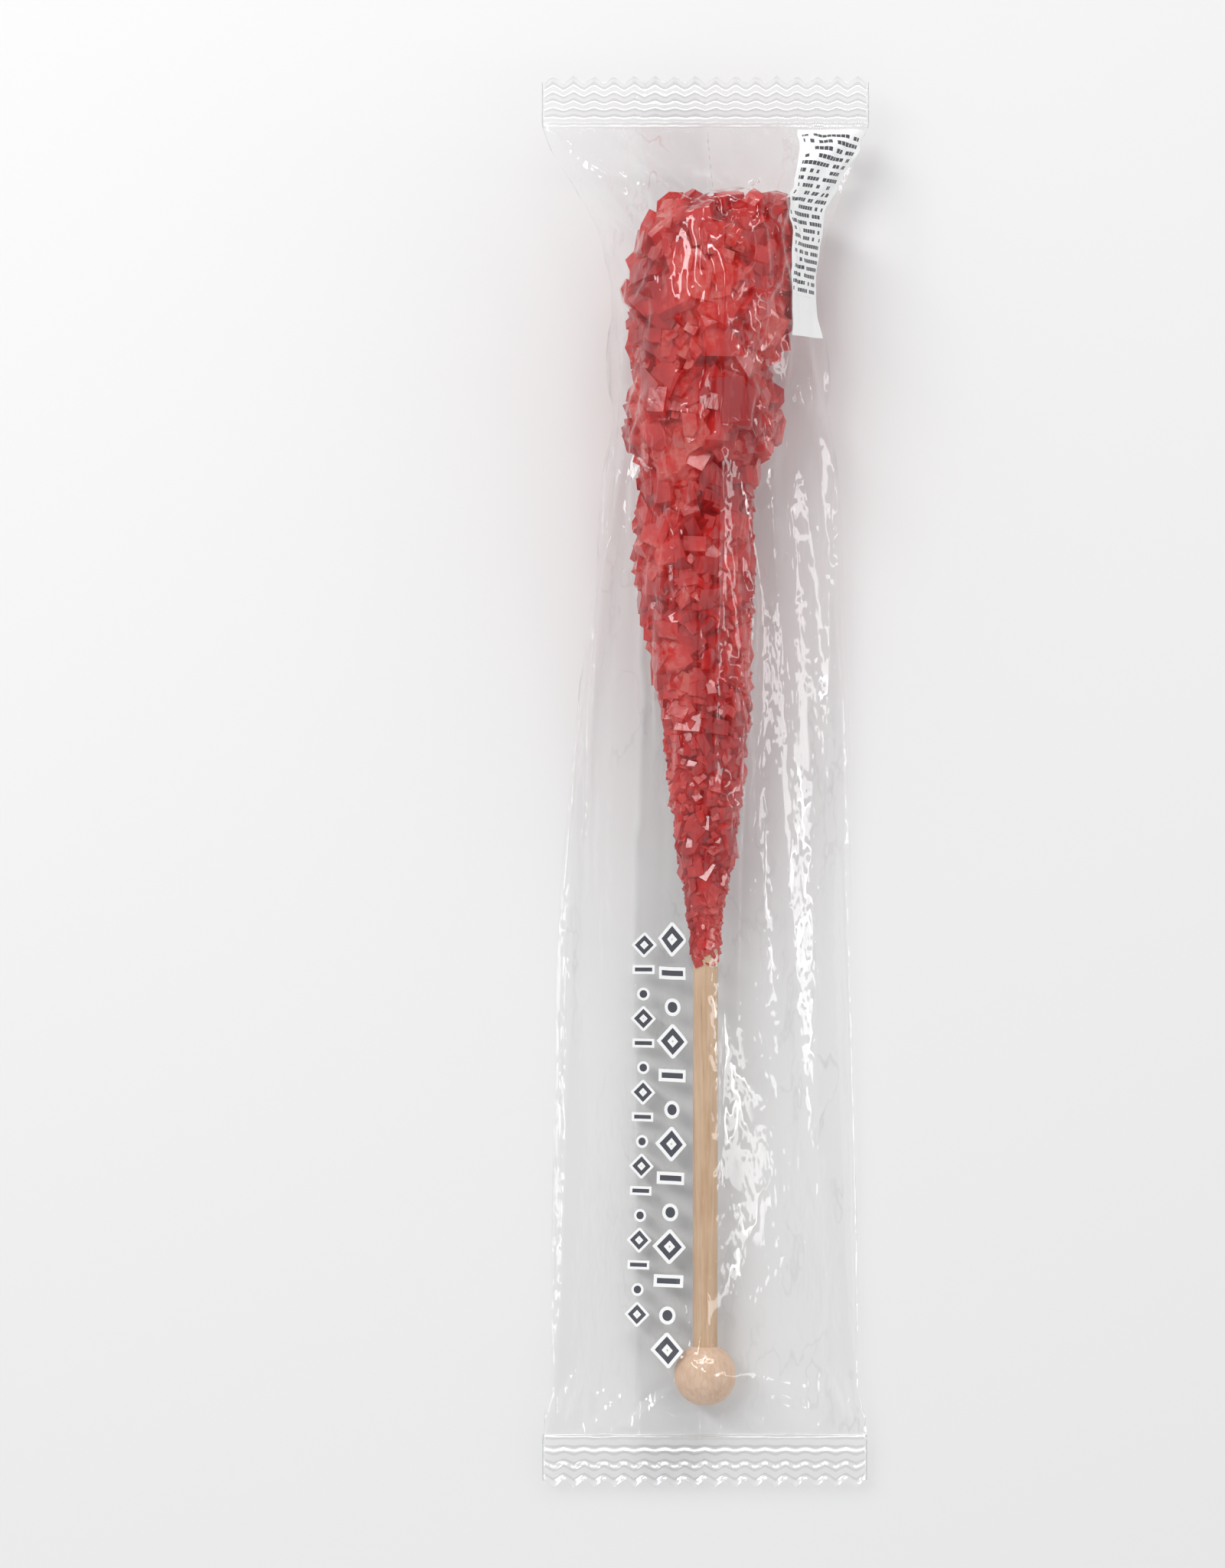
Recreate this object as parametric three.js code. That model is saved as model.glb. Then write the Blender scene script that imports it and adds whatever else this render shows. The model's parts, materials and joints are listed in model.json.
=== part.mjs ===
import * as THREE from "three";
import { mergeVertices } from "three/addons/utils/BufferGeometryUtils.js";

// A rock candy stick in its clear film bag, lying on its side.
// Millimetres, +Z up. The stick lies along Y with the candy at +Y, and the bag rests on Z = 0.
// The sealed bag is one filled solid: its skin follows the crystals, the dowel and the ball knob inside.

// Driving dimensions of the stick
const tipToKnob = 155; // from the candy's tip to the end of the knob
const candyLength = 99;
const dowelRadius = 1.6;
const knobRadius = 4;

// Driving dimensions of the film
const bagLength = 182; // from cut edge to cut edge
const flatWidth = 42; // of the empty film tube
const filmPastTip = 16; // from the candy's tip to the cut edge
const sealLength = 7;
const sealHalfThickness = 0.35;
const filmGap = 0.3; // between the crystals and the outside of the film
const ribPitch = 1.75; // crimp lines pressed across each seal
const ribHeight = 0.25;
const toothDepth = 1.1; // zigzag of the cut edges
const restFlat = 1; // how far the ground presses the underside flat

// Places along Y
const headEdge = bagLength / 2;
const tailEdge = -bagLength / 2;
const tipY = headEdge - filmPastTip;
const candyEndY = tipY - candyLength;
const knobEndY = tipY - tipToKnob;
const knobY = knobEndY + knobRadius;
const headSealY = headEdge - sealLength;
const tailSealY = tailEdge + sealLength;

// Half the candy's width at distances from its tip: a blunt head, a waist, a second swell and a long taper
const widestPlace = 13;
const widestRadius = 10.8;
const candyProfile = [
  [0, 7.4],
  [2, 8.8],
  [5.5, 10],
  [widestPlace, widestRadius],
  [18, 10],
  [22.5, 8.5],
  [28, 10.2],
  [31.5, 9.4],
  [34.5, 7.7],
  [40, 7.4],
  [46, 7.6],
  [60, 6.3],
  [80, 4.3],
  [candyLength, 1.8],
];

// How far the candy's middle stands right of the dowel at those distances: the head leans to one corner
const candyLeanProfile = [
  [0, 3.1],
  [5.5, 1.7],
  [11.5, 0.7],
  [18, 0.3],
  [22.5, -0.7],
  [28, -0.3],
  [34.5, -1],
  [43, -1.6],
  [70, 0],
];
const widestY = tipY - widestPlace;

// The head's thickest place and the knob both touch the ground, so the stick's axis slopes between them
const headAxisZ = widestRadius + filmGap;
const knobAxisZ = knobRadius + filmGap;
const axisSlope = (headAxisZ - knobAxisZ) / (widestY - knobY);
const axisZ = (y) => knobAxisZ + (y - knobY) * axisSlope;

// A smooth curve through a list of [place, value] pairs whose places rise, level past its ends
function smoothCurve(pairs) {
  const places = pairs.map(([place]) => place);
  const values = pairs.map(([, value]) => value);
  const last = pairs.length - 1;
  const rise = (i) => (values[i + 1] - values[i]) / (places[i + 1] - places[i]);
  const slopes = values.map((_, i) => {
    if (i === 0 || i === last) return 0;
    const before = rise(i - 1);
    const after = rise(i);
    return before * after <= 0 ? 0 : (2 * before * after) / (before + after);
  });
  return (place) => {
    if (place <= places[0]) return values[0];
    if (place >= places[last]) return values[last];
    const i = places.findIndex((p) => p > place) - 1;
    const step = places[i + 1] - places[i];
    const t = (place - places[i]) / step;
    const lift = t * t * (3 - 2 * t);
    const bend = step * (slopes[i] * t * (1 - t) ** 2 - slopes[i + 1] * t * t * (1 - t));
    return values[i] + (values[i + 1] - values[i]) * lift + bend;
  };
}

const candyRadius = smoothCurve(candyProfile);
const candyLean = smoothCurve(candyLeanProfile);

// Half the width of what the film holds at place y: the candy, then the dowel, then the knob
function coreRadius(y) {
  const fromKnob = Math.abs(y - knobY);
  const knob = fromKnob < knobRadius ? Math.sqrt(knobRadius ** 2 - fromKnob ** 2) : 0;
  const dowel = y > knobY && y < tipY ? dowelRadius : 0;
  const candy = y > candyEndY && y < tipY ? candyRadius(tipY - y) : 0;
  return Math.max(knob, dowel, candy);
}

// The height of the film's side folds, which sag towards the ground along the thin dowel
const foldZ = smoothCurve([
  [tailEdge, 1.9],
  [tailSealY, 2.1],
  [knobY, 1.9],
  [knobY + 28, 1.5],
  [candyEndY, 2],
  [candyEndY + 30, 3.6],
  [widestY - 24, 6.2],
  [widestY, 7.4],
  [tipY, 7.6],
  [headSealY, 7.2],
  [headEdge, 6.2],
]);

// The height of the ridge that the film makes over what it holds
const ridgeZ = smoothCurve([
  [tailSealY, foldZ(tailSealY)],
  [knobEndY - 0.5, 5.2],
  [knobY, knobAxisZ + knobRadius + filmGap],
  [knobY + 6, axisZ(knobY + 6) + 2.9],
  [knobY + 14, axisZ(knobY + 14) + dowelRadius + filmGap],
  [candyEndY - 10, axisZ(candyEndY - 10) + dowelRadius + filmGap],
  ...candyProfile
    .filter(([place]) => place > 0)
    .map(([place, radius]) => [tipY - place, axisZ(tipY - place) + radius + filmGap])
    .reverse(),
  [tipY + 0.8, axisZ(tipY) + candyRadius(0)],
  [headSealY, foldZ(headSealY)],
]);

// The lowest line of the film, before the ground presses it flat all the way from the knob to the head
const bottomZ = smoothCurve([
  [tailSealY, foldZ(tailSealY)],
  [knobY - 3, -restFlat],
  [widestY + 6, -restFlat],
  [tipY, 1.6],
  [headSealY, foldZ(headSealY)],
]);

// How the film falls from ridge to fold: 1 is a straight tent, more is a steep ridge with flat wings
const tentPower = smoothCurve([
  [tailSealY, 0.3],
  [knobEndY, 0.8],
  [knobY + 4, 1.5],
  [knobY + 18, 1.7],
  [candyEndY, 1.6],
  [candyEndY + 40, 1.1],
  [tipY - 4, 0.8],
  [headSealY, 0.3],
]);

// The slack of the tube hangs to the right of the candy, so both folds stand that much further right
const slackShift = smoothCurve([
  [candyEndY, 0],
  [candyEndY + 40, 1.2],
  [tipY - 6, 1.6],
  [headSealY, 0],
]);

// 1 in the flat seals and 0 in the round bag
const flatness = smoothCurve([
  [tailSealY, 1],
  [tailSealY + 8, 0],
  [headSealY - 8, 0],
  [headSealY, 1],
]);

// The seals ripple in ribs that run parallel to the cut edge
function ribWave(y) {
  const intoSeal = Math.max(y - headSealY, tailSealY - y, 0);
  return ribHeight * Math.sin((2 * Math.PI * intoSeal) / ribPitch);
}

const stepsAcross = 24;

// Where each line of points stands across the bag, from 1 at the right fold to -1 at the left
function acrossAt(step, y) {
  const angle = (Math.PI * step) / stepsAcross;
  return THREE.MathUtils.lerp(Math.cos(angle), 1 - (2 * step) / stepsAcross, flatness(y));
}

// The larger of two heights, with the corner between them rounded where they are nearly equal
const roundedWithin = 1.5;
function roundedMax(a, b) {
  const near = Math.max(roundedWithin - Math.abs(a - b), 0) / roundedWithin;
  return Math.max(a, b) + (near * near * roundedWithin) / 4;
}

// The height of the film at a share across the bag, where the folds stand halfWidth to each side
const foldShare = 1 / 12; // how much of each half the two layers take to part from their fold
const sealEase = 3; // from a seal's inner edge to where the bag has opened
const bellyPower = 0.35; // 0.5 would make the underside round, and less makes it boxy
function filmZ(across, halfWidth, y, side) {
  const rim = foldZ(y);
  const inward = 1 - Math.abs(across);
  const parted = Math.min(1, inward / foldShare);
  const leastHeight = sealHalfThickness * parted;
  if (y >= headSealY || y <= tailSealY) return rim + side * leastHeight + ribWave(y);
  const ease = THREE.MathUtils.smoothstep(Math.min(headSealY - y, y - tailSealY), 0, sealEase);
  if (side < 0) {
    const depth = (rim - bottomZ(y)) * (1 - across * across) ** bellyPower;
    return Math.max(rim - THREE.MathUtils.lerp(leastHeight, Math.max(depth, leastHeight), ease), 0);
  }
  const tent = (ridgeZ(y) - rim) * inward ** tentPower(y);
  const radius = coreRadius(y) ? coreRadius(y) + filmGap : 0;
  const fromCore = across * halfWidth + slackShift(y) - candyLean(tipY - y);
  const core = Math.abs(fromCore) < radius ? axisZ(y) - rim + Math.sqrt(radius ** 2 - fromCore ** 2) : 0;
  const height = Math.max(roundedMax(tent, core), leastHeight) * parted;
  return rim + THREE.MathUtils.lerp(leastHeight, height, ease);
}

// The half width at which the section's outline is as long as the film tube is round
const halvings = 30;
function halfWidthAt(y) {
  let low = 1;
  let high = flatWidth / 2;
  for (let round = 0; round < halvings; round += 1) {
    const middle = (low + high) / 2;
    let length = 0;
    for (const side of [1, -1]) {
      for (let step = 0; step < stepsAcross; step += 1) {
        const from = acrossAt(step, y);
        const to = acrossAt(step + 1, y);
        const climb = filmZ(to, middle, y, side) - filmZ(from, middle, y, side);
        length += Math.hypot(middle * (to - from), climb);
      }
    }
    if (length < 2 * flatWidth) low = middle;
    else high = middle;
  }
  return low;
}

// Repeatable random numbers from 0 to 1
function seededRandom(seed) {
  let state = seed;
  return () => {
    state = (state * 1664525 + 1013904223) % 4294967296;
    return state / 4294967296;
  };
}

// Crystal tips press through the film: a jittered grid on the candy, each the top of a small pyramid
const tipSpacing = 5.2;
const tipHeight = 1;
const tipReach = 0.62 * tipSpacing; // from a pyramid's top to its foot
const crystalTips = (() => {
  const random = seededRandom(20);
  const tips = [];
  for (let along = 2; along < candyLength - 8; along += tipSpacing) {
    const radius = candyRadius(along);
    const count = Math.max(5, Math.round((2 * Math.PI * radius) / tipSpacing));
    const turn = random();
    for (let i = 0; i < count; i += 1) {
      const angle = (2 * Math.PI * (i + turn + 0.5 * random())) / count;
      const place = along + tipSpacing * (random() - 0.5);
      tips.push({ place, angle, height: tipHeight * (0.5 + random()) });
    }
  }
  return tips;
})();

function crystalRelief(y, angle) {
  const place = tipY - y;
  const radius = candyRadius(place);
  let relief = 0;
  for (const tip of crystalTips) {
    const turn = THREE.MathUtils.euclideanModulo(tip.angle - angle + Math.PI, 2 * Math.PI) - Math.PI;
    const away = Math.hypot(tip.place - place, turn * radius);
    relief = Math.max(relief, tip.height * (1 - away / tipReach));
  }
  return relief;
}

// Puckers that run from each seal into the bag, where the flat film gathers round the candy
const puckerCount = 5;
const puckerDepth = 0.55;
const headPuckers = 18; // their length from the seal
const tailPuckers = 8;
const puckerJitter = 0.8;
function pucker(across, y) {
  const fromHead = headSealY - y;
  const fromTail = y - tailSealY;
  const reach = fromHead < fromTail ? headPuckers : tailPuckers;
  const from = Math.min(fromHead, fromTail);
  if (from <= 0 || from >= reach) return 0;
  const fade = Math.sin((Math.PI * from) / reach) ** 2 * (1 - across * across);
  return puckerDepth * fade * Math.sin(Math.PI * puckerCount * across + puckerJitter * Math.sin(7 * across));
}

// One ring of points round the bag at place y: over the top from right to left, then back underneath.
// The crystals' relief fades out where the film leaves the candy, nears the ground or nears a fold.
const reliefFade = [0.5, 3];
const foldFade = [0.03, 0.15];
function ringAt(y) {
  const halfWidth = halfWidthAt(y);
  const ring = [];
  for (let i = 0; i < 2 * stepsAcross; i += 1) {
    const onTop = i <= stepsAcross;
    const step = onTop ? i : 2 * stepsAcross - i;
    const across = acrossAt(step, y);
    const side = onTop ? 1 : -1;
    const x = halfWidth * across + slackShift(y);
    const point = new THREE.Vector3(x, y, filmZ(across, halfWidth, y, side));
    const onFold = step === 0 || step === stepsAcross;
    if (onTop && !onFold) point.z += pucker(across, y);
    const onCandy = y < tipY + 1 && y > candyEndY + 12;
    if (onCandy && !onFold) {
      const middle = new THREE.Vector2(candyLean(tipY - y), axisZ(y));
      const out = new THREE.Vector2(point.x, point.z).sub(middle);
      const offCandy = out.length() - coreRadius(y) - filmGap;
      const touch = 1 - THREE.MathUtils.smoothstep(offCandy, ...reliefFade);
      const offGround = THREE.MathUtils.smoothstep(point.z, ...reliefFade);
      const offFold = THREE.MathUtils.smoothstep(1 - Math.abs(across), ...foldFade);
      const relief = crystalRelief(y, Math.atan2(out.y, out.x)) - 0.5 * tipHeight;
      const push = out.clone().setLength(relief * touch * offGround * offFold);
      point.x += push.x;
      point.z += push.y;
    }
    ring.push(point);
  }
  return ring;
}

// Rings stand close in the seals, over the candy and at the knob, and further apart along the dowel
function ringPlaces() {
  const runs = [
    [tailEdge, tailSealY, (4 * sealLength) / ribPitch],
    [tailSealY, knobY + 6, 11],
    [knobY + 6, candyEndY, 10],
    [candyEndY, tipY - 20, 34],
    [tipY - 20, headSealY, 26],
    [headSealY, headEdge, (4 * sealLength) / ribPitch],
  ];
  const places = [tailEdge];
  for (const [from, to, count] of runs) {
    for (let i = 1; i <= count; i += 1) places.push(from + ((to - from) * i) / count);
  }
  return places;
}

// The cut edges are zigzag: every other line of points stops short of the edge
function cutTeeth(ring, inward) {
  ring.forEach((point, i) => {
    if (i % 2) point.y += inward * toothDepth;
  });
}

function makeBag() {
  const rings = ringPlaces().map(ringAt);
  cutTeeth(rings[0], 1);
  cutTeeth(rings[rings.length - 1], -1);
  const count = 2 * stepsAcross;
  const faces = [];
  for (let r = 0; r + 1 < rings.length; r += 1) {
    for (let i = 0; i < count; i += 1) {
      const next = (i + 1) % count;
      const [a, b, c, d] = [rings[r][i], rings[r][next], rings[r + 1][next], rings[r + 1][i]];
      faces.push(a, c, b, a, d, c);
    }
  }
  // Each cut edge is closed by a strip between the top and the bottom of the film
  for (const [ring, facesHead] of [[rings[0], false], [rings[rings.length - 1], true]]) {
    for (let step = 0; step < stepsAcross; step += 1) {
      const [a, b] = [ring[step], ring[step + 1]];
      const [c, d] = [ring[(count - step - 1) % count], ring[(count - step) % count]];
      const strip = [];
      if (step + 1 < stepsAcross) strip.push([a, b, c]);
      if (step > 0) strip.push([a, c, d]);
      for (const [p, q, s] of strip) faces.push(...(facesHead ? [p, s, q] : [p, q, s]));
    }
  }
  const geometry = new THREE.BufferGeometry().setFromPoints(faces);
  return mergeVertices(geometry, 1e-4);
}

const film = new THREE.MeshStandardMaterial({
  color: 0xc23a3c,
  roughness: 0.2,
  metalness: 0,
  transparent: true,
  opacity: 0.75,
});

const bag = new THREE.Mesh(makeBag(), film);
bag.name = "wrapper";
bag.geometry.computeVertexNormals();

const candyStick = new THREE.Group();
candyStick.add(bag);

export default candyStick;
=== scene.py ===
import json
import math
import random

import bmesh
import bpy
import numpy as np
from mathutils import Matrix, Vector
from mathutils.bvhtree import BVHTree

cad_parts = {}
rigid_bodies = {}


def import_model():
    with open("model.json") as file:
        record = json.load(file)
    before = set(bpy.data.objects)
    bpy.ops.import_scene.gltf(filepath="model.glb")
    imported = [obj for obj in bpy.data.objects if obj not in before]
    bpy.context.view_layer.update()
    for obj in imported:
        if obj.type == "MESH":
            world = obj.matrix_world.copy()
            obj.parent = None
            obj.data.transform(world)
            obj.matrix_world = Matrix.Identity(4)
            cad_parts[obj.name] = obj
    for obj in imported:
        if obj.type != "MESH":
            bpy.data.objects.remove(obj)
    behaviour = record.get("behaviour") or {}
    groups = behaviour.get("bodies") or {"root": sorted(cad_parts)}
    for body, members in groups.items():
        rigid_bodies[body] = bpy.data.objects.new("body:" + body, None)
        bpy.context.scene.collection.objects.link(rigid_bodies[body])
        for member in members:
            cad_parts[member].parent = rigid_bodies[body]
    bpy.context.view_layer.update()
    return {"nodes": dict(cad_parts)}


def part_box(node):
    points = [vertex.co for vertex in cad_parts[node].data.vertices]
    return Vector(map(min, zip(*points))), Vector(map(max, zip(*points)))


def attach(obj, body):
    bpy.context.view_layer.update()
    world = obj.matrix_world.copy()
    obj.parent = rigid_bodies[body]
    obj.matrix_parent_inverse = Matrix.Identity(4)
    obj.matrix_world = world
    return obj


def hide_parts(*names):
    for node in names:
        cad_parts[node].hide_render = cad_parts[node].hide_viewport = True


# A rock candy stick in its clear film bag, lying on its side: the candy's head is at +Y, the knob at -Y.
# Everything is in metres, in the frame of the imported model, whose filled bag the real pieces replace.
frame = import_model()

# The dowel: a thin turned birch rod that runs from the ball knob up into the candy. The sugar grew on it,
# so its upper half is inside the crystals. It slopes a little, as the head is thicker than the knob.
mm = 0.001
bag_low, bag_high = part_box("wrapper")
film_past_tip = 16 * mm
tip_y = bag_high.y - film_past_tip
tip_to_knob = 155 * mm
dowel_radius = 1.6 * mm
knob_radius = 4 * mm
film_gap = 0.3 * mm
knob_end_y = tip_y - tip_to_knob
knob_y = knob_end_y + knob_radius
widest_place = 13 * mm
widest_radius = 10.8 * mm
axis_slope = (widest_radius - knob_radius) / (tip_y - widest_place - knob_y)
scene = bpy.context.scene


def axis_z(y):
    """Height of the dowel's middle at place y."""
    return knob_radius + film_gap + (y - knob_y) * axis_slope


def add_object(name, verts, faces, smooth=True):
    """A new mesh object, with its faces turned outwards."""
    mesh = bpy.data.meshes.new(name)
    mesh.from_pydata([tuple(v) for v in verts], [], faces)
    bm = bmesh.new()
    bm.from_mesh(mesh)
    bmesh.ops.recalc_face_normals(bm, faces=bm.faces)
    bm.to_mesh(mesh)
    bm.free()
    mesh.shade_smooth() if smooth else mesh.shade_flat()
    piece = bpy.data.objects.new(name, mesh)
    scene.collection.objects.link(piece)
    return piece


def turned(name, outline, around=48):
    """A piece turned about the dowel's line. Its outline is (place along Y, radius) pairs."""
    verts, faces = [], []
    for y, radius in outline[1:-1]:
        for i in range(around):
            angle = 2 * math.pi * i / around
            verts.append((radius * math.cos(angle), y, axis_z(y) + radius * math.sin(angle)))
    rings = len(outline) - 2
    for r in range(rings - 1):
        for i in range(around):
            j = (i + 1) % around
            faces.append((r * around + i, r * around + j, (r + 1) * around + j, (r + 1) * around + i))
    for (y, _), first in ((outline[0], 0), (outline[-1], (rings - 1) * around)):
        verts.append((0, y, axis_z(y)))
        faces += [(first + i, first + (i + 1) % around, len(verts) - 1) for i in range(around)]
    return add_object(name, verts, faces)


class Value:
    """A number in a shader. Python's operators on it add Math nodes."""

    def __init__(self, shader, socket):
        self.shader = shader
        self.socket = socket

    def math(self, operation, *others):
        return self.shader.math(operation, self, *others)

    def __add__(self, other):
        return self.math("ADD", other)

    def __sub__(self, other):
        return self.math("SUBTRACT", other)

    def __rsub__(self, other):
        return self.shader.math("SUBTRACT", other, self)

    def __mul__(self, other):
        return self.math("MULTIPLY", other)

    def __truediv__(self, other):
        return self.math("DIVIDE", other)

    def __rtruediv__(self, other):
        return self.shader.math("DIVIDE", other, self)

    __radd__ = __add__
    __rmul__ = __mul__

    def under(self, limit):
        return self.math("LESS_THAN", limit)

    def over(self, limit):
        return self.math("GREATER_THAN", limit)

    def between(self, low, high):
        return self.over(low) * self.under(high)

    def either(self, other):
        return self.math("MAXIMUM", other)

    def ramp(self, low, high):
        """0 below low, 1 above high and smooth between them."""
        settings = {"interpolation_type": "SMOOTHSTEP"}
        return self.shader.add("ShaderNodeMapRange", settings, self, low, high)


class Shader:
    """The nodes of a material or a world. add() makes any node, sets its sockets and returns an output."""

    def __init__(self, name, kind="materials"):
        self.owner = getattr(bpy.data, kind).new(name)
        self.owner.use_nodes = True
        self.nodes = self.owner.node_tree.nodes
        self.links = self.owner.node_tree.links
        self.nodes.clear()

    def add(self, kind, settings, *inputs, out=0, **named):
        node = self.nodes.new(kind)
        for key, value in settings.items():
            setattr(node, key, value)
        by_name = {key.replace("_", " "): value for key, value in named.items()}
        for key, value in [*enumerate(inputs), *by_name.items()]:
            socket = node.inputs[key]
            if isinstance(value, Value):
                self.links.new(value.socket, socket)
            elif socket.type == "RGBA" and value is not None:
                socket.default_value = (*value, 1.0)
            elif value is not None:
                socket.default_value = value
        return Value(self, node.outputs[out]) if node.outputs else node

    def math(self, operation, *values):
        return self.add("ShaderNodeMath", {"operation": operation}, *values)

    def object_place(self):
        return self.add("ShaderNodeTexCoord", {}, out="Object")

    def parts(self, vector):
        """The X, Y and Z of a vector."""
        first = self.add("ShaderNodeSeparateXYZ", {}, vector)
        outputs = first.socket.node.outputs
        return [Value(self, outputs[i]) for i in range(3)]

    def scaled(self, vector, factors):
        return self.add("ShaderNodeVectorMath", {"operation": "MULTIPLY"}, vector, factors)

    def noise(self, vector, scale, detail=2.0, roughness=0.5):
        sizes = {"Scale": scale, "Detail": detail, "Roughness": roughness}
        return self.add("ShaderNodeTexNoise", {}, Vector=vector, **sizes)

    def mix(self, factor, a, b):
        """Colour a where factor is 0 and colour b where it is 1."""
        not_for_colours = [None] * 5
        return self.add("ShaderNodeMix", {"data_type": "RGBA"}, factor, *not_for_colours, a, b, out=2)

    def bump(self, height, distance, strength):
        return self.add("ShaderNodeBump", {}, Height=height, Distance=distance, Strength=strength)

    def finish(self, surface, output="ShaderNodeOutputMaterial"):
        self.add(output, {}, surface)
        return self.owner


def birch(name, light, dark, grain_stretch):
    """Pale sanded birch: fine grain lines along Y, a few darker streaks and small pores."""
    wood = Shader(name)
    place = wood.object_place()
    pore_color = (0.2, 0.1, 0.045)
    grain_depth = 0.06 * mm
    grain = wood.noise(wood.scaled(place, (1, grain_stretch, 1)), scale=2600, detail=4.0, roughness=0.6)
    streak = wood.noise(wood.scaled(place, (1, 0.5 * grain_stretch, 1)), scale=500)
    mottle = wood.noise(place, scale=220, detail=3.0)
    tone = (grain * 0.5 + streak * 0.35 + mottle * 0.25).ramp(0.35, 0.78)
    pores = grain.ramp(0.68, 0.74) * 0.35
    surface = wood.add(
        "ShaderNodeBsdfPrincipled", {},
        Base_Color=wood.mix(pores, wood.mix(tone, light, dark), pore_color),
        Roughness=mottle * 0.2 + 0.5, Normal=wood.bump(grain, grain_depth, strength=0.6),
    )
    return wood.finish(surface)


dowel_end_y = tip_y - 10 * mm
dowel_rows = 60
dowel_sides = 32
waver = 0.012
waver_turn = 2.1
dowel_outline = [(knob_y, 0), (knob_y, dowel_radius)]
for i in range(1, dowel_rows + 1):
    y = knob_y + (dowel_end_y - knob_y) * i / dowel_rows
    dowel_outline.append((y, dowel_radius * (1 + waver * math.sin(waver_turn * i))))
dowel_outline.append((dowel_end_y, 0))
dowel = turned("dowel", dowel_outline, dowel_sides)
dowel.data.materials.append(birch("dowel birch", (0.61, 0.43, 0.28), (0.45, 0.28, 0.16), 0.03))
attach(dowel, "root")

# The knob: a ball turned from the same birch and glued on the dowel's lower end, with a small flat where
# the lathe held it, and faint rings from the turning tool.
knob_steps = 40
knob_flat = 0.12 * mm
arc_start, arc_share = 0.045, 0.87
tool_mark, tool_marks = 0.004, 11
collar_length = 0.25 * mm
knob_outline = [(knob_end_y + knob_flat, 0)]
for i in range(1, knob_steps):
    angle = math.pi * (arc_start + arc_share * i / knob_steps)
    ring = knob_radius * (1 + tool_mark * math.sin(tool_marks * angle))
    knob_outline.append((knob_y - ring * math.cos(angle), ring * math.sin(angle)))
knob_outline.append((knob_outline[-1][0] + collar_length, dowel_radius))
knob_outline.append((knob_outline[-1][0], 0))
knob = turned("knob", knob_outline)
knob.data.materials.append(birch("knob birch", (0.71, 0.51, 0.37), (0.54, 0.35, 0.23), 0.25))
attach(knob, "root")

# The candy: sugar crystals grown into one solid mass round the dowel. Each is a slanted block with flat
# faces and cut edges. They are placed on the candy's form, sunk halfway in, and fused by one union.
# The form's tables are in mm, and their places count from the candy's tip.
candy_length = 99
crystal_kinds = 16
core_rows, core_columns = 60, 32
core_start, core_length = 1, candy_length - 4
core_depth = 2.2
least_core_radius = dowel_radius + 0.05 * mm


def smooth_curve(pairs):
    """A smooth curve through (place, value) pairs whose places rise, level past its ends."""
    places, values = (np.array(column, float) for column in zip(*pairs))
    rise = np.diff(values) / np.diff(places)
    before, after = rise[:-1], rise[1:]
    same_way = before * after > 0
    bends = np.where(same_way, 2 * before * after / np.where(same_way, before + after, 1), 0)
    slopes = np.concatenate([[0], bends, [0]])

    def curve(place):
        place = np.clip(place, places[0], places[-1])
        i = np.clip(np.searchsorted(places, place, side="right") - 1, 0, len(places) - 2)
        step = places[i + 1] - places[i]
        t = (place - places[i]) / step
        lift = t * t * (3 - 2 * t)
        bend = step * (slopes[i] * t * (1 - t) ** 2 - slopes[i + 1] * t * t * (1 - t))
        return values[i] + (values[i + 1] - values[i]) * lift + bend

    return curve


candy_radius = smooth_curve([
    (0, 7.4), (2, 8.8), (5.5, 10), (13, 10.8), (18, 10), (22.5, 8.5), (28, 10.2), (31.5, 9.4),
    (34.5, 7.7), (40, 7.4), (46, 7.6), (60, 6.3), (80, 4.3), (candy_length, 1.8),
])
candy_lean = smooth_curve([
    (0, 3.1), (5.5, 1.7), (11.5, 0.7), (18, 0.3), (22.5, -0.7), (28, -0.3), (34.5, -1), (43, -1.6), (70, 0),
])
crystal_size = smooth_curve([(0, 6), (30, 5.6), (60, 4.2), (candy_length, 2.4)])
draw = random.Random(7)


def crystal_shape():
    """A sugar crystal one unit long: a leaning block with two to four edges or corners cut off."""
    bm = bmesh.new()
    bmesh.ops.create_cube(bm, size=1.0)
    lean = Matrix.Identity(4)
    lean[0][2] = draw.uniform(0.15, 0.33)
    block = Matrix.Diagonal((draw.uniform(0.6, 0.85), draw.uniform(0.5, 0.75), 1.0, 1.0))
    bmesh.ops.transform(bm, matrix=lean @ block, verts=bm.verts)
    for _ in range(draw.randint(2, 4)):
        out = Vector([draw.choice((-1, 1)) * draw.uniform(0.5, 1.0) for _ in range(3)])
        out[draw.randrange(3)] *= draw.choice((0.0, 0.0, 0.4))
        out.normalize()
        reach = max(v.co.dot(out) for v in bm.verts)
        cut = out * (reach - draw.uniform(0.08, 0.2))
        whole = bm.verts[:] + bm.edges[:] + bm.faces[:]
        made = bmesh.ops.bisect_plane(bm, geom=whole, plane_co=cut, plane_no=out, clear_outer=True)
        rim = [e for e in made["geom_cut"] if isinstance(e, bmesh.types.BMEdge)]
        bmesh.ops.contextual_create(bm, geom=rim)
    mesh = bpy.data.meshes.new("crystal")
    bm.to_mesh(mesh)
    bm.free()
    return mesh


def candy_middle(place):
    y = tip_y - place * mm
    return Vector((candy_lean(place) * mm, y, axis_z(y)))


crystals = bpy.data.collections.new("crystals")
scene.collection.children.link(crystals)
shapes = [crystal_shape() for _ in range(crystal_kinds)]
first_row, first_place = 0.6, 0.3
ring_sunk, least_ring, least_around = 0.8, 1.5, 5
tip_reach, lean_at_tip, lean_below = 3, 0.9, 0.25
underside = -0.5


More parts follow.
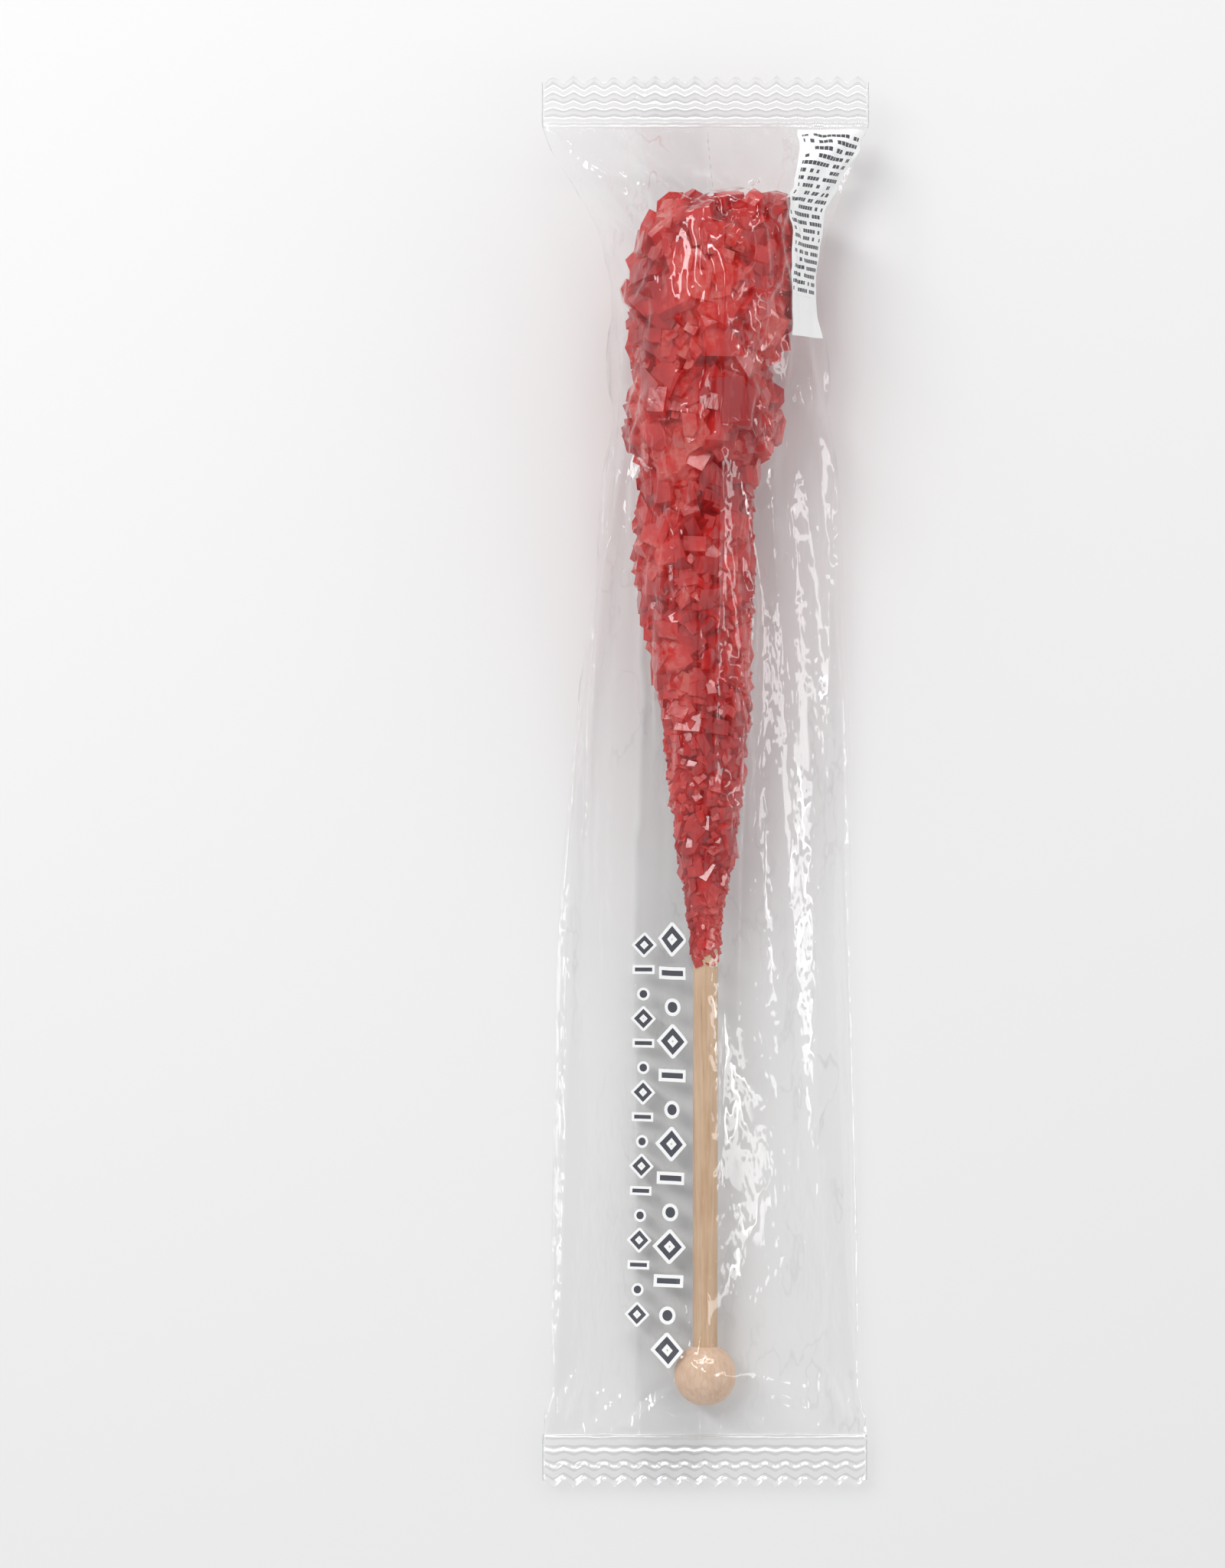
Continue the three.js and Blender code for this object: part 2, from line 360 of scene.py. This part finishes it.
def grow(size_share, crowding, low_fill, high_fill):
    """Sets crystals round the candy, row by row, so that each just reaches the candy's form."""
    place = first_row
    while place < candy_length - 1:
        size = float(crystal_size(place)) * size_share
        spacing = size / crowding
        ring = max(float(candy_radius(place)) - ring_sunk, least_ring)
        around = max(least_around, round(2 * math.pi * ring / spacing))
        turn = draw.random()
        for i in range(around):
            angle = 2 * math.pi * (i + turn + draw.uniform(-0.25, 0.25)) / around
            along = max(place + spacing * draw.uniform(-0.5, 0.5), first_place)
            spoke = Vector((math.cos(angle), 0, math.sin(angle)))
            to_tip = draw.uniform(0.5, 1.3) * (lean_at_tip if along < tip_reach else lean_below)
            out = (spoke + Vector((0, to_tip, 0))).normalized()
            turns = [Matrix.Rotation(draw.uniform(0, 2 * math.pi), 3, "Z") for _ in range(2)]
            tilt = Matrix.Rotation(draw.gauss(0, 0.65), 3, "X")
            stand = out.to_track_quat("Z", "Y").to_matrix() @ turns[0] @ tilt @ turns[1]
            length = size * draw.uniform(0.6, 1.25) * mm
            shape = draw.choice(shapes)
            corners = [stand @ v.co * length for v in shape.vertices]
            fill = draw.uniform(low_fill, high_fill) if spoke.z > underside else low_fill
            reach = max(corner.dot(spoke) for corner in corners)
            centre = candy_middle(along) + spoke * (float(candy_radius(along)) * fill * mm - reach)
            past_tip = centre.y + max(corner.y for corner in corners) - tip_y
            centre.y -= max(past_tip - draw.uniform(-1.2, 0.5) * mm, 0)
            crystal = bpy.data.objects.new("crystal", shape)
            crystal.matrix_world = Matrix.Translation(centre) @ (stand * length).to_4x4()
            crystals.objects.link(crystal)
        place += spacing


grow(size_share=1, crowding=2.1, low_fill=0.96, high_fill=1.08)
grow(size_share=0.45, crowding=1.2, low_fill=0.92, high_fill=1.04)

core_verts = []
for r in range(core_rows + 1):
    along = core_start + core_length * r / core_rows
    radius = max((float(candy_radius(along)) - core_depth) * mm, least_core_radius)
    for c in range(core_columns):
        angle = 2 * math.pi * c / core_columns
        spoke = Vector((math.cos(angle), 0, math.sin(angle)))
        core_verts.append(candy_middle(along) + spoke * radius)


def grid_faces(rows, columns):
    """Quads of a tube, whose rings of points follow each other."""
    faces = []
    for r in range(rows - 1):
        near, far = r * columns, (r + 1) * columns
        for c in range(columns):
            d = (c + 1) % columns
            faces.append((near + c, near + d, far + d, far + c))
    return faces


core_faces = grid_faces(core_rows + 1, core_columns)
core_faces.append(list(range(core_columns)))
core_faces.append([core_rows * core_columns + c for c in range(core_columns)])
candy = add_object("candy", core_verts, core_faces, smooth=False)
fuse = candy.modifiers.new("fuse", "BOOLEAN")
fuse.operation = "UNION"
fuse.operand_type = "COLLECTION"
fuse.collection = crystals
fuse.solver = "MANIFOLD"
bpy.context.view_layer.update()
fused = candy.evaluated_get(bpy.context.evaluated_depsgraph_get())
candy.data = bpy.data.meshes.new_from_object(fused)
candy.data.name = "candy"
candy.modifiers.clear()
bm = bmesh.new()
bm.from_mesh(candy.data)
bmesh.ops.triangulate(bm, faces=bm.faces)
bmesh.ops.dissolve_degenerate(bm, dist=0.001 * mm, edges=bm.edges)
bm.to_mesh(candy.data)
bm.free()
for crystal in list(crystals.objects):
    bpy.data.objects.remove(crystal)
bpy.data.collections.remove(crystals)
for shape in shapes:
    bpy.data.meshes.remove(shape)
candy.data.shade_flat()

sugar = Shader("red sugar")
sugar_place = sugar.object_place()
facet_way = sugar.add("ShaderNodeNewGeometry", {}, out="True Normal")
# Noise of the way each flat facet faces: painted light and shade that makes some facets lighter and others
# darker.
facet_light_noise = sugar.noise(facet_way, scale=3.2)
cloud = sugar.noise(sugar.scaled(sugar_place, (1, 0.5, 1)), scale=150, detail=3.0)
frost = sugar.noise(sugar_place, scale=900, detail=4.0, roughness=0.65)
# The red is painted darker or lighter by the facet noise, as painted light and shade on the facets, and also
# by random clouds of tone and by frost.
tone_and_facet_shade = (facet_light_noise * 0.45 + cloud * 0.6 + frost * 0.15).ramp(0.48, 0.7)
# Pale pink painted glow, laid where frost, facet noise and random clouds add up high: partly frost and partly
# painted light.
frost_and_painted_glow = (frost * 0.35 + facet_light_noise * 0.25 + cloud * 0.5).ramp(0.57, 0.69)
deep_red, bright_red, frost_and_glow_pink = (0.5, 0.0005, 0.004), (0.92, 0.03, 0.022), (1.0, 0.4, 0.33)
red = sugar.mix(frost_and_painted_glow * 0.42, sugar.mix(tone_and_facet_shade, deep_red, bright_red), frost_and_glow_pink)
frost_depth = 0.1 * mm
candy.data.materials.clear()
candy.data.materials.append(sugar.finish(sugar.add(
    "ShaderNodeBsdfPrincipled", {},
    Base_Color=red, Roughness=frost * 0.24 + 0.02, IOR=1.54, Transmission_Weight=0.5,
    Subsurface_Weight=0.5, Subsurface_Radius=(0.004, 0.0007, 0.0006), Subsurface_Scale=1.0,
    Normal=sugar.bump(frost, frost_depth, strength=0.4),
)))
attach(candy, "root")

# The film: a clear sleeve of thin plastic, crimped shut across both ends with a zigzag cut. It starts on
# the form of the CAD bag, and a cloth simulation lets it fall slack on the crystals, the dowel and the knob.
# The cloth is simulated at ten times its size, and is cut 1% larger than the form that it starts on.
bag = frame["nodes"]["wrapper"]
flat_width = 42 * mm
seal_length = 7 * mm
seal_half_thickness = 0.05 * mm
cloth_columns = 96
cloth_row_step = 0.85 * mm
slack = 1.01
sim_scale = 10
ground_z = 0.3 * mm
least_start_z = ground_z + 0.2 * mm
top_columns = 8
section_angles = np.linspace(math.pi / 2, -1.5 * math.pi, 721)
bag_tree = BVHTree.FromPolygons([v.co for v in bag.data.vertices], [p.vertices for p in bag.data.polygons])


def fold_height(y):
    """Height of the bag's side folds: where its right side reaches furthest out."""
    heights = np.linspace(0.2, 9, 60) * mm
    hits = [(bag_tree.ray_cast((1, y, h), (-1, 0, 0))[0], h) for h in heights]
    return max((hit.x, h) for hit, h in hits if hit is not None)[1]


def bag_section(y):
    """Points round the CAD bag at place y, evenly spaced from the middle of its top."""
    height = fold_height(y)
    sides = [bag_tree.ray_cast((side, y, height), (-side, 0, 0))[0].x for side in (1, -1)]
    middle_x = sum(sides) / 2
    top = bag_tree.ray_cast((middle_x, y, 1), (0, 0, -1))[0].z
    bottom = bag_tree.ray_cast((middle_x, y, -1), (0, 0, 1))[0].z
    centre = Vector((middle_x, y, (top + bottom) / 2))
    outline = []
    for angle in section_angles:
        outline.append(bag_tree.ray_cast(centre, (math.cos(angle), 0, math.sin(angle)))[0])
    outline = np.array(outline)
    lengths = np.concatenate([[0], np.cumsum(np.linalg.norm(np.diff(outline, axis=0), axis=1))])
    wanted = np.linspace(0, lengths[-1], cloth_columns + 1)[:-1]
    return np.stack([np.interp(wanted, lengths, outline[:, k]) for k in range(3)], axis=1)


end_gap = 1.3 * mm
film_rows = round((bag_high.y - bag_low.y - 2 * end_gap) / cloth_row_step)
row_places = np.linspace(bag_low.y + end_gap, bag_high.y - end_gap, film_rows + 1)
film_points = np.array([bag_section(y) for y in row_places])
film_points[:, :, 2] = np.maximum(film_points[:, :, 2], least_start_z)
in_head_seal = row_places > bag_high.y - seal_length
in_tail_seal = row_places < bag_low.y + seal_length
for rows in (in_head_seal, in_tail_seal):
    heights = film_points[rows][:, :, 2]
    middles = heights.mean(axis=1)
    level = np.polyval(np.polyfit(row_places[rows], middles, 1), row_places[rows])
    side = np.sign(heights - middles[:, None])
    film_points[rows, :, 2] = level[:, None] + side * seal_half_thickness


def helper_solid(name, verts, faces, thickness):
    """Something that the film falls on in the simulation."""
    solid = add_object(name, verts, faces)
    solid.modifiers.new("collision", "COLLISION")
    solid.collision.thickness_outer = thickness
    solid.collision.cloth_friction = 12
    return solid


def settle(start, frames=45):
    """Lets the film fall slack on what it holds, by cloth simulation, and gives its points back."""
    rows, around = start.shape[:2]
    sheet = add_object("sheet", start.reshape(-1, 3) * sim_scale, grid_faces(rows, around))
    sheet.shape_key_add(name="start")
    cut = sheet.shape_key_add(name="cut")
    top = np.r_[0:top_columns, around - top_columns:around]
    steps = np.linalg.norm(np.diff(start[:, top].mean(axis=1), axis=0), axis=1)
    radius = 2 * flat_width * slack / (2 * math.pi)
    angles = 2 * math.pi * np.arange(around) / around
    rest = np.zeros(start.shape)
    rest[:, :, 0] = radius * np.sin(angles)
    rest[:, :, 1] = (np.concatenate([[0], np.cumsum(steps)]) * slack)[:, None]
    rest[:, :, 2] = radius * np.cos(angles)
    cut.data.foreach_set("co", (rest * sim_scale).ravel())
    held = sheet.vertex_groups.new(name="held")
    sealed = np.flatnonzero(in_head_seal | in_tail_seal)
    held.add([int(r) * around + c for r in sealed for c in range(around)], 1.0, "REPLACE")
    cloth = sheet.modifiers.new("cloth", "CLOTH")
    settings = cloth.settings
    settings.quality = 6
    settings.mass = 0.15
    settings.air_damping = 2
    settings.bending_model = "ANGULAR"
    settings.tension_stiffness = settings.compression_stiffness = 60
    settings.shear_stiffness = 30
    settings.bending_stiffness = 2
    settings.tension_damping = settings.compression_damping = settings.shear_damping = 20
    settings.bending_damping = 2
    settings.vertex_group_mass = "held"
    settings.rest_shape_key = cut
    cloth.collision_settings.collision_quality = 3
    cloth.collision_settings.distance_min = 0.002
    cloth.collision_settings.use_self_collision = False
    cloth.point_cache.frame_end = frames
    ground_corners = [(x, y, ground_z * sim_scale) for x, y in ((-1, -2), (1, -2), (1, 2), (-1, 2))]
    ground = helper_solid("ground", ground_corners, [(0, 1, 2, 3)], 0.001)
    verts, faces = [], []
    for part in (candy, dowel, knob):
        faces += [[len(verts) + i for i in p.vertices] for p in part.data.polygons]
        verts += [v.co * sim_scale for v in part.data.vertices]
    contents = helper_solid("contents", verts, faces, 0.002)
    for frame_number in range(1, frames + 1):
        scene.frame_set(frame_number)
    settled = sheet.evaluated_get(bpy.context.evaluated_depsgraph_get()).to_mesh()
    points = np.zeros(start.size)
    settled.vertices.foreach_get("co", points)
    for helper in (sheet, ground, contents):
        bpy.data.objects.remove(helper)
    scene.frame_set(1)
    return points.reshape(start.shape) / sim_scale


film_points = settle(film_points)


def resample(points, places, closed):
    """Points along the first axis of a grid at fractional places, on smooth curves through the grid's own."""
    count = len(points)
    base = np.floor(places).astype(int)
    t = (places - base)[:, None, None]

    def near(step):
        return points[(base + step) % count] if closed else points[np.clip(base + step, 0, count - 1)]

    a, b, c, d = (near(step) for step in (-1, 0, 1, 2))
    return b + 0.5 * t * (c - a + t * (2 * a - 5 * b + 4 * c - d + t * (3 * (b - c) + d - a)))


seal_step = 0.2 * mm
body_step = 0.42 * mm
rib_pitch = 1.75 * mm
rib_height = 0.2 * mm
blade_gap = 0.1 * mm
tooth_depth = 1.1 * mm
tooth_pitch = 2.6 * mm
seal_y = (bag_low.y + seal_length, bag_high.y - seal_length)
fine_places = np.concatenate([
    np.arange(row_places[0], seal_y[0], seal_step),
    np.linspace(seal_y[0], seal_y[1], round((seal_y[1] - seal_y[0]) / body_step) + 1),
    np.arange(row_places[-1], seal_y[1], -seal_step)[::-1],
])
row_index = (fine_places - row_places[0]) / (row_places[1] - row_places[0])
fine_columns = 2 * cloth_columns - 8
fine = resample(film_points, row_index, closed=False)
column_index = np.linspace(0, cloth_columns, fine_columns + 1)[:-1]
fine = resample(fine.transpose(1, 0, 2), column_index, closed=True).transpose(1, 0, 2)
into_seal = np.maximum(np.maximum(seal_y[0] - fine_places, fine_places - seal_y[1]), 0)[:, None]
fine[:, :, 2] += rib_height * np.sin(2 * math.pi * into_seal / rib_pitch)
across = (np.arange(fine_columns) / fine_columns * 2 + 1) % 2 - 1
across_mm = across * flat_width / mm


def facing_down(sheet):
    """Unit normals of a grid of points, on the side that faces down."""
    normals = np.cross(np.gradient(sheet, axis=0), np.gradient(sheet, axis=1))
    return normals / np.linalg.norm(normals, axis=2, keepdims=True) * np.where(normals[:, :, 2:] > 0, -1, 1)


gather_start = 1.5 * mm
gather_reach = 18 * mm
gather_pitch = 3.1 * mm
gather_height = 0.5 * mm
past_seal = np.minimum(fine_places - seal_y[0], seal_y[1] - fine_places)[:, None]
fading = np.clip(past_seal / gather_start, 0, 1) * np.clip(1 - past_seal / gather_reach, 0, 1) ** 2
on_top = np.clip(1.2 - 2.4 * np.abs(across), 0, 1)
turns = fine[:, :, 0] / gather_pitch * 2 * math.pi
gathers = 1 + np.sin(turns + 1.6 * np.sin(turns * 0.37 + np.sign(fine_places)[:, None]))
fine -= facing_down(fine) * (gather_height / 2 * gathers * fading * on_top)[:, :, None]
teeth = np.abs((fine[:, :, 0] / tooth_pitch) % 1 - 0.5) * 2 * tooth_depth
for end, seal in ((bag_low.y, seal_y[0]), (bag_high.y, seal_y[1])):
    cut_edge = end + np.sign(seal - end) * (blade_gap + teeth)
    in_seal = (into_seal > 0) & (np.sign(fine_places - seal)[:, None] == np.sign(end - seal))
    last_row = row_places[0] if end < 0 else row_places[-1]
    stretched = seal + (fine[:, :, 1] - seal) * (cut_edge - seal) / (last_row - seal)
    fine[:, :, 1] = np.where(in_seal, stretched, fine[:, :, 1])


def flat_end(first, around, start, mirror):
    """Faces that close a ring of points pressed flat, where point i lies on point mirror - i."""
    faces = []
    for i in range(start, start + around // 2):
        ring = dict.fromkeys(k % around for k in (i, i + 1, mirror - i - 1, mirror - i))
        if len(ring) > 2:
            faces.append([first + k for k in ring])
    return faces


half, fold = fine_columns // 2, fine_columns // 4
film_faces = grid_faces(len(fine), fine_columns)
for first in (0, (len(fine) - 1) * fine_columns):
    film_faces += flat_end(first, fine_columns, fold, 2 * fold)
film = add_object("film", fine.reshape(-1, 3), film_faces)
sheet_place = film.data.uv_layers.new(name="sheet")
v_mm = np.repeat(fine_places / mm, fine_columns)
u_mm = np.tile(across_mm, len(fine))
corner_verts = np.zeros(len(film.data.loops), int)
film.data.loops.foreach_get("vertex_index", corner_verts)
sheet_place.uv.foreach_set("vector", np.stack([u_mm[corner_verts], v_mm[corner_verts]], axis=1).ravel())

# The film's print: a white panel of small dark dashes beside the head, and two lengthwise rows of plain
# shapes in dark strokes with white rims beside the dowel. It is ink printed on the film before it is sealed.
# On the sheet, u is the place across in mm from the middle of the top, and v is the place along Y in mm.
clear = Shader("clear film")
u, v, _ = clear.parts(clear.add("ShaderNodeUVMap", {"uv_map": "sheet"}))
tip_mm = tip_y / mm
knob_mm = knob_y / mm
panel = u.between(11.8, 20.8) * v.between(tip_mm - 18.5, tip_mm + 8.5)
dash_place = u.between(12.4, 20.2) * v.between(tip_mm - 13.5, tip_mm + 7.5)
line_pitch, dash_pitch = 0.95, 0.6
line, dash = v / line_pitch, u / dash_pitch
cell = clear.add("ShaderNodeCombineXYZ", {}, dash.math("FLOOR"), line.math("FLOOR"))
dice = clear.add("ShaderNodeTexWhiteNoise", {"noise_dimensions": "2D"}, Vector=cell)
dashes = line.math("FRACT").between(0.25, 0.75) * dash.math("FRACT").over(0.12) * dice.over(0.25)
dashes = dashes * dash_place
# The rows stand side by side: lozenge, disc and bar in turn, and smaller in the outer row.
shape_pitch = 4.4
lozenge_middle, lozenge_half_stroke = 0.9, 0.34
disc_radius = 0.7
bar_half_width, bar_half_length = 0.35, 1.6
white_rim = 0.45
far_outside = 9
between_rows = -7.83
in_outer_row = u.under(between_rows)
row_scale = 1 - in_outer_row * 0.28
row_middle = -5.4 - in_outer_row * 4.2
row_start = in_outer_row * 5 + (knob_mm + 1)
row_count = in_outer_row * 3 + 13
step = (v - row_start) / (row_scale * shape_pitch)
kind = (step.math("FLOOR") / 3).math("FRACT")
endways = ((step.math("FRACT") - 0.5) * shape_pitch).math("ABSOLUTE")
sideways = ((u - row_middle) / row_scale).math("ABSOLUTE")
lozenge = ((endways + sideways) / math.sqrt(2) - lozenge_middle).math("ABSOLUTE") - lozenge_half_stroke
disc = (endways * endways + sideways * sideways).math("SQRT") - disc_radius
bar = (endways - bar_half_width).either(sideways - bar_half_length)
is_bar = kind.over(0.5)
is_disc = kind.over(0.2) - is_bar
past_stroke = lozenge * (1 - is_bar - is_disc) + bar * is_bar + disc * is_disc
past_stroke = past_stroke + (1 - step.between(0, row_count)) * far_outside
dark = dashes.either(past_stroke.under(0))
inked = panel.either(past_stroke.under(white_rim))
ink_color = clear.mix(dark, (0.84, 0.84, 0.83), (0.06, 0.06, 0.075))
crease_depth = 0.6 * mm


def film_shine(shader, least, in_bag):
    """The film's fine creases, and how much light it mirrors: least of all where it is seen straight on, and
    more along the crease lines, painted there so that the folds show as grey lines.
    """
    place = shader.object_place()
    crinkle = shader.noise(shader.scaled(place, (1, 0.35, 1)), scale=260, detail=3.0, roughness=0.55)
    waves = shader.noise(shader.scaled(place, (1, 0.3, 1)), scale=110)
    from_crease = (crinkle - 0.5).math("ABSOLUTE")
    height = (from_crease.ramp(0.0, 0.12) * 0.18 + waves) * in_bag
    creased = shader.bump(height, crease_depth, strength=0.5)
    tilt = shader.add("ShaderNodeLayerWeight", {}, out="Facing", Blend=0.5, Normal=creased)
    # Painted grey lines along the creases: the film mirrors more there, so that its folds show.
    painted_crease_grey = (1 - from_crease.ramp(0.0, 0.022)) * waves.ramp(0.46, 0.6) * in_bag
    return creased, tilt.math("POWER", 4) * 0.9 + painted_crease_grey * 0.09 + least


in_bag = v.between(seal_y[0] / mm, seal_y[1] / mm)
creased, shine = film_shine(clear, least=0.04, in_bag=in_bag)
frosted = (1 - in_bag) * 0.07
film.data.materials.append(clear.finish(clear.add(
    "ShaderNodeBsdfPrincipled", {},
    Base_Color=clear.mix(inked, (1, 1, 1), ink_color), Metallic=1 - inked,
    Roughness=inked * 0.3 + frosted + 0.06, Alpha=(shine + frosted).either(inked), Normal=creased,
)))
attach(film, "root")
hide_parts("wrapper")

# The back seam: the sleeve is a flat sheet brought round, and its two edges are sealed face to face in a fin
# that lies folded flat against the back of the bag, from one cut edge to the other.
fin_width = 9 * mm
fin_gap = 0.03 * mm
fin_thickness = 0.06 * mm
fin_columns = round(fin_width / (2 * flat_width / fine_columns))
back = fine[::2, half:half + fin_columns + 1:2]
down = facing_down(back)
fin_rows, fin_across = back.shape[:2]
inner, outer = back + down * fin_gap, back + down * (fin_gap + fin_thickness)
rings = np.concatenate([inner, outer[:, ::-1]], axis=1)
fin_faces = grid_faces(fin_rows, 2 * fin_across)
for first in (0, (fin_rows - 1) * 2 * fin_across):
    fin_faces += flat_end(first, 2 * fin_across, 0, -1)
seam = add_object("back_seam", rings.reshape(-1, 3), fin_faces)
welded = Shader("welded film")
creased, shine = film_shine(welded, least=0.02, in_bag=1)
seam.data.materials.append(welded.finish(welded.add(
    "ShaderNodeBsdfPrincipled", {},
    Base_Color=(1, 1, 1), Metallic=1, Roughness=0.06, Alpha=shine, Normal=creased,
)))
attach(seam, "root")

# The floor, the light and the camera. The floor is plain paper, under a light tent with three softboxes and a
# darker gap above, where the camera looks straight down on the side of the stick that the photograph shows.
floor_reach = 2
floor_corners = [(x * floor_reach, y * floor_reach, 0) for x, y in ((-1, -1), (1, -1), (1, 1), (-1, 1))]
floor = add_object("floor", floor_corners, [(0, 1, 2, 3)])
paper = Shader("floor")
paper_surface = paper.add("ShaderNodeBsdfPrincipled", {}, Base_Color=(0.77, 0.765, 0.76), Roughness=0.6)
floor.data.materials.append(paper.finish(paper_surface))


def softbox(name, place, width, height, power):
    """A lamp of width by height metres, turned to the middle of the bag."""
    light = bpy.data.lights.new(name, "AREA")
    light.shape = "RECTANGLE"
    light.size = width
    light.size_y = height
    light.energy = power
    lamp = bpy.data.objects.new(name, light)
    lamp.location = place
    lamp.rotation_euler = (-Vector(place)).to_track_quat("-Z", "Y").to_euler()
    scene.collection.objects.link(lamp)


softbox("key", (-0.35, 0.25, 0.55), width=0.1, height=0.5, power=1.9)
softbox("fill", (0.75, -0.1, 0.32), width=0.06, height=0.7, power=0.8)
softbox("end", (0, 0.5, 0.5), width=0.5, height=0.08, power=1.1)
tent = Shader("light tent", "worlds")
_, _, up = tent.parts(tent.add("ShaderNodeTexCoord", {}, out="Generated"))
brightness = 0.85 - up.ramp(0.82, 0.97) * 0.65
glow = tent.add("ShaderNodeBackground", {}, Color=(0.92, 0.93, 0.95), Strength=brightness)
scene.world = tent.finish(glow, "ShaderNodeOutputWorld")

camera_height = 0.66
frame_height = 200 * mm
level_of_frame = 10 * mm
photo_width, photo_height = 1600, 2048
stick_column = 922
camera = bpy.data.objects.new("camera", bpy.data.cameras.new("camera"))
scene.collection.objects.link(camera)
camera.data.lens = camera.data.sensor_width * (camera_height - level_of_frame) / frame_height
camera_x = (0.5 - stick_column / photo_width) * frame_height * photo_width / photo_height
camera.location = (camera_x, 0, camera_height)
camera.rotation_euler = (0, 0, 0)
camera.data.clip_start = 0.01
scene.camera = camera
scene.view_settings.view_transform = "Standard"
